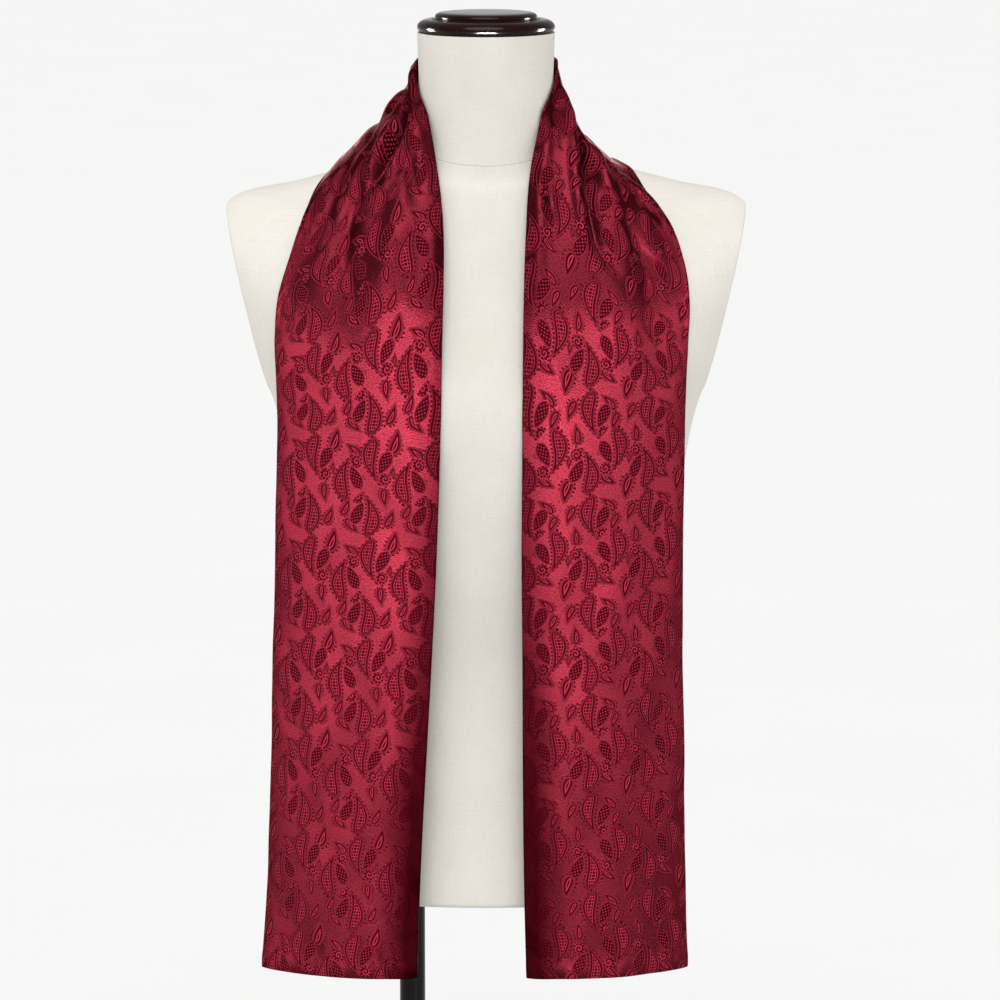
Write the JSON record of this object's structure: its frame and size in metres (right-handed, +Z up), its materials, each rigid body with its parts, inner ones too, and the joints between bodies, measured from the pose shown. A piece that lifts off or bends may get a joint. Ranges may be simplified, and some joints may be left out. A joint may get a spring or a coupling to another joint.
{
  "type": "silk scarf on a dress form",
  "caption": "Crimson paisley silk scarf, worn open round the neck of a linen-covered limbless dress form on an offset pole and round base.",
  "frame": {"origin": "centre of the base plate's underside, under the pole's axis", "axes": "+Z up the pole, -Y the way the form and the scarf's tails face, +X to the right seen from the front"},
  "size_m": [0.4519, 0.34, 1.2446],
  "materials": {
    "silk": "crimson jacquard silk with a satin ground and a tone-on-tone paisley figure",
    "linen": "cream plain-weave linen, matt",
    "lacquered_wood": "near-black red lacquer over turned wood, high gloss",
    "black_steel": "gloss black enamel"
  },
  "bodies": {
    "root": {"scarf_left_tail": "silk", "scarf_neck_wrap": "silk", "scarf_right_tail": "silk", "form_torso": "linen", "neck_cap": "lacquered_wood", "pole": "black_steel", "base_plate": "black_steel"}
  },
  "joints": []
}
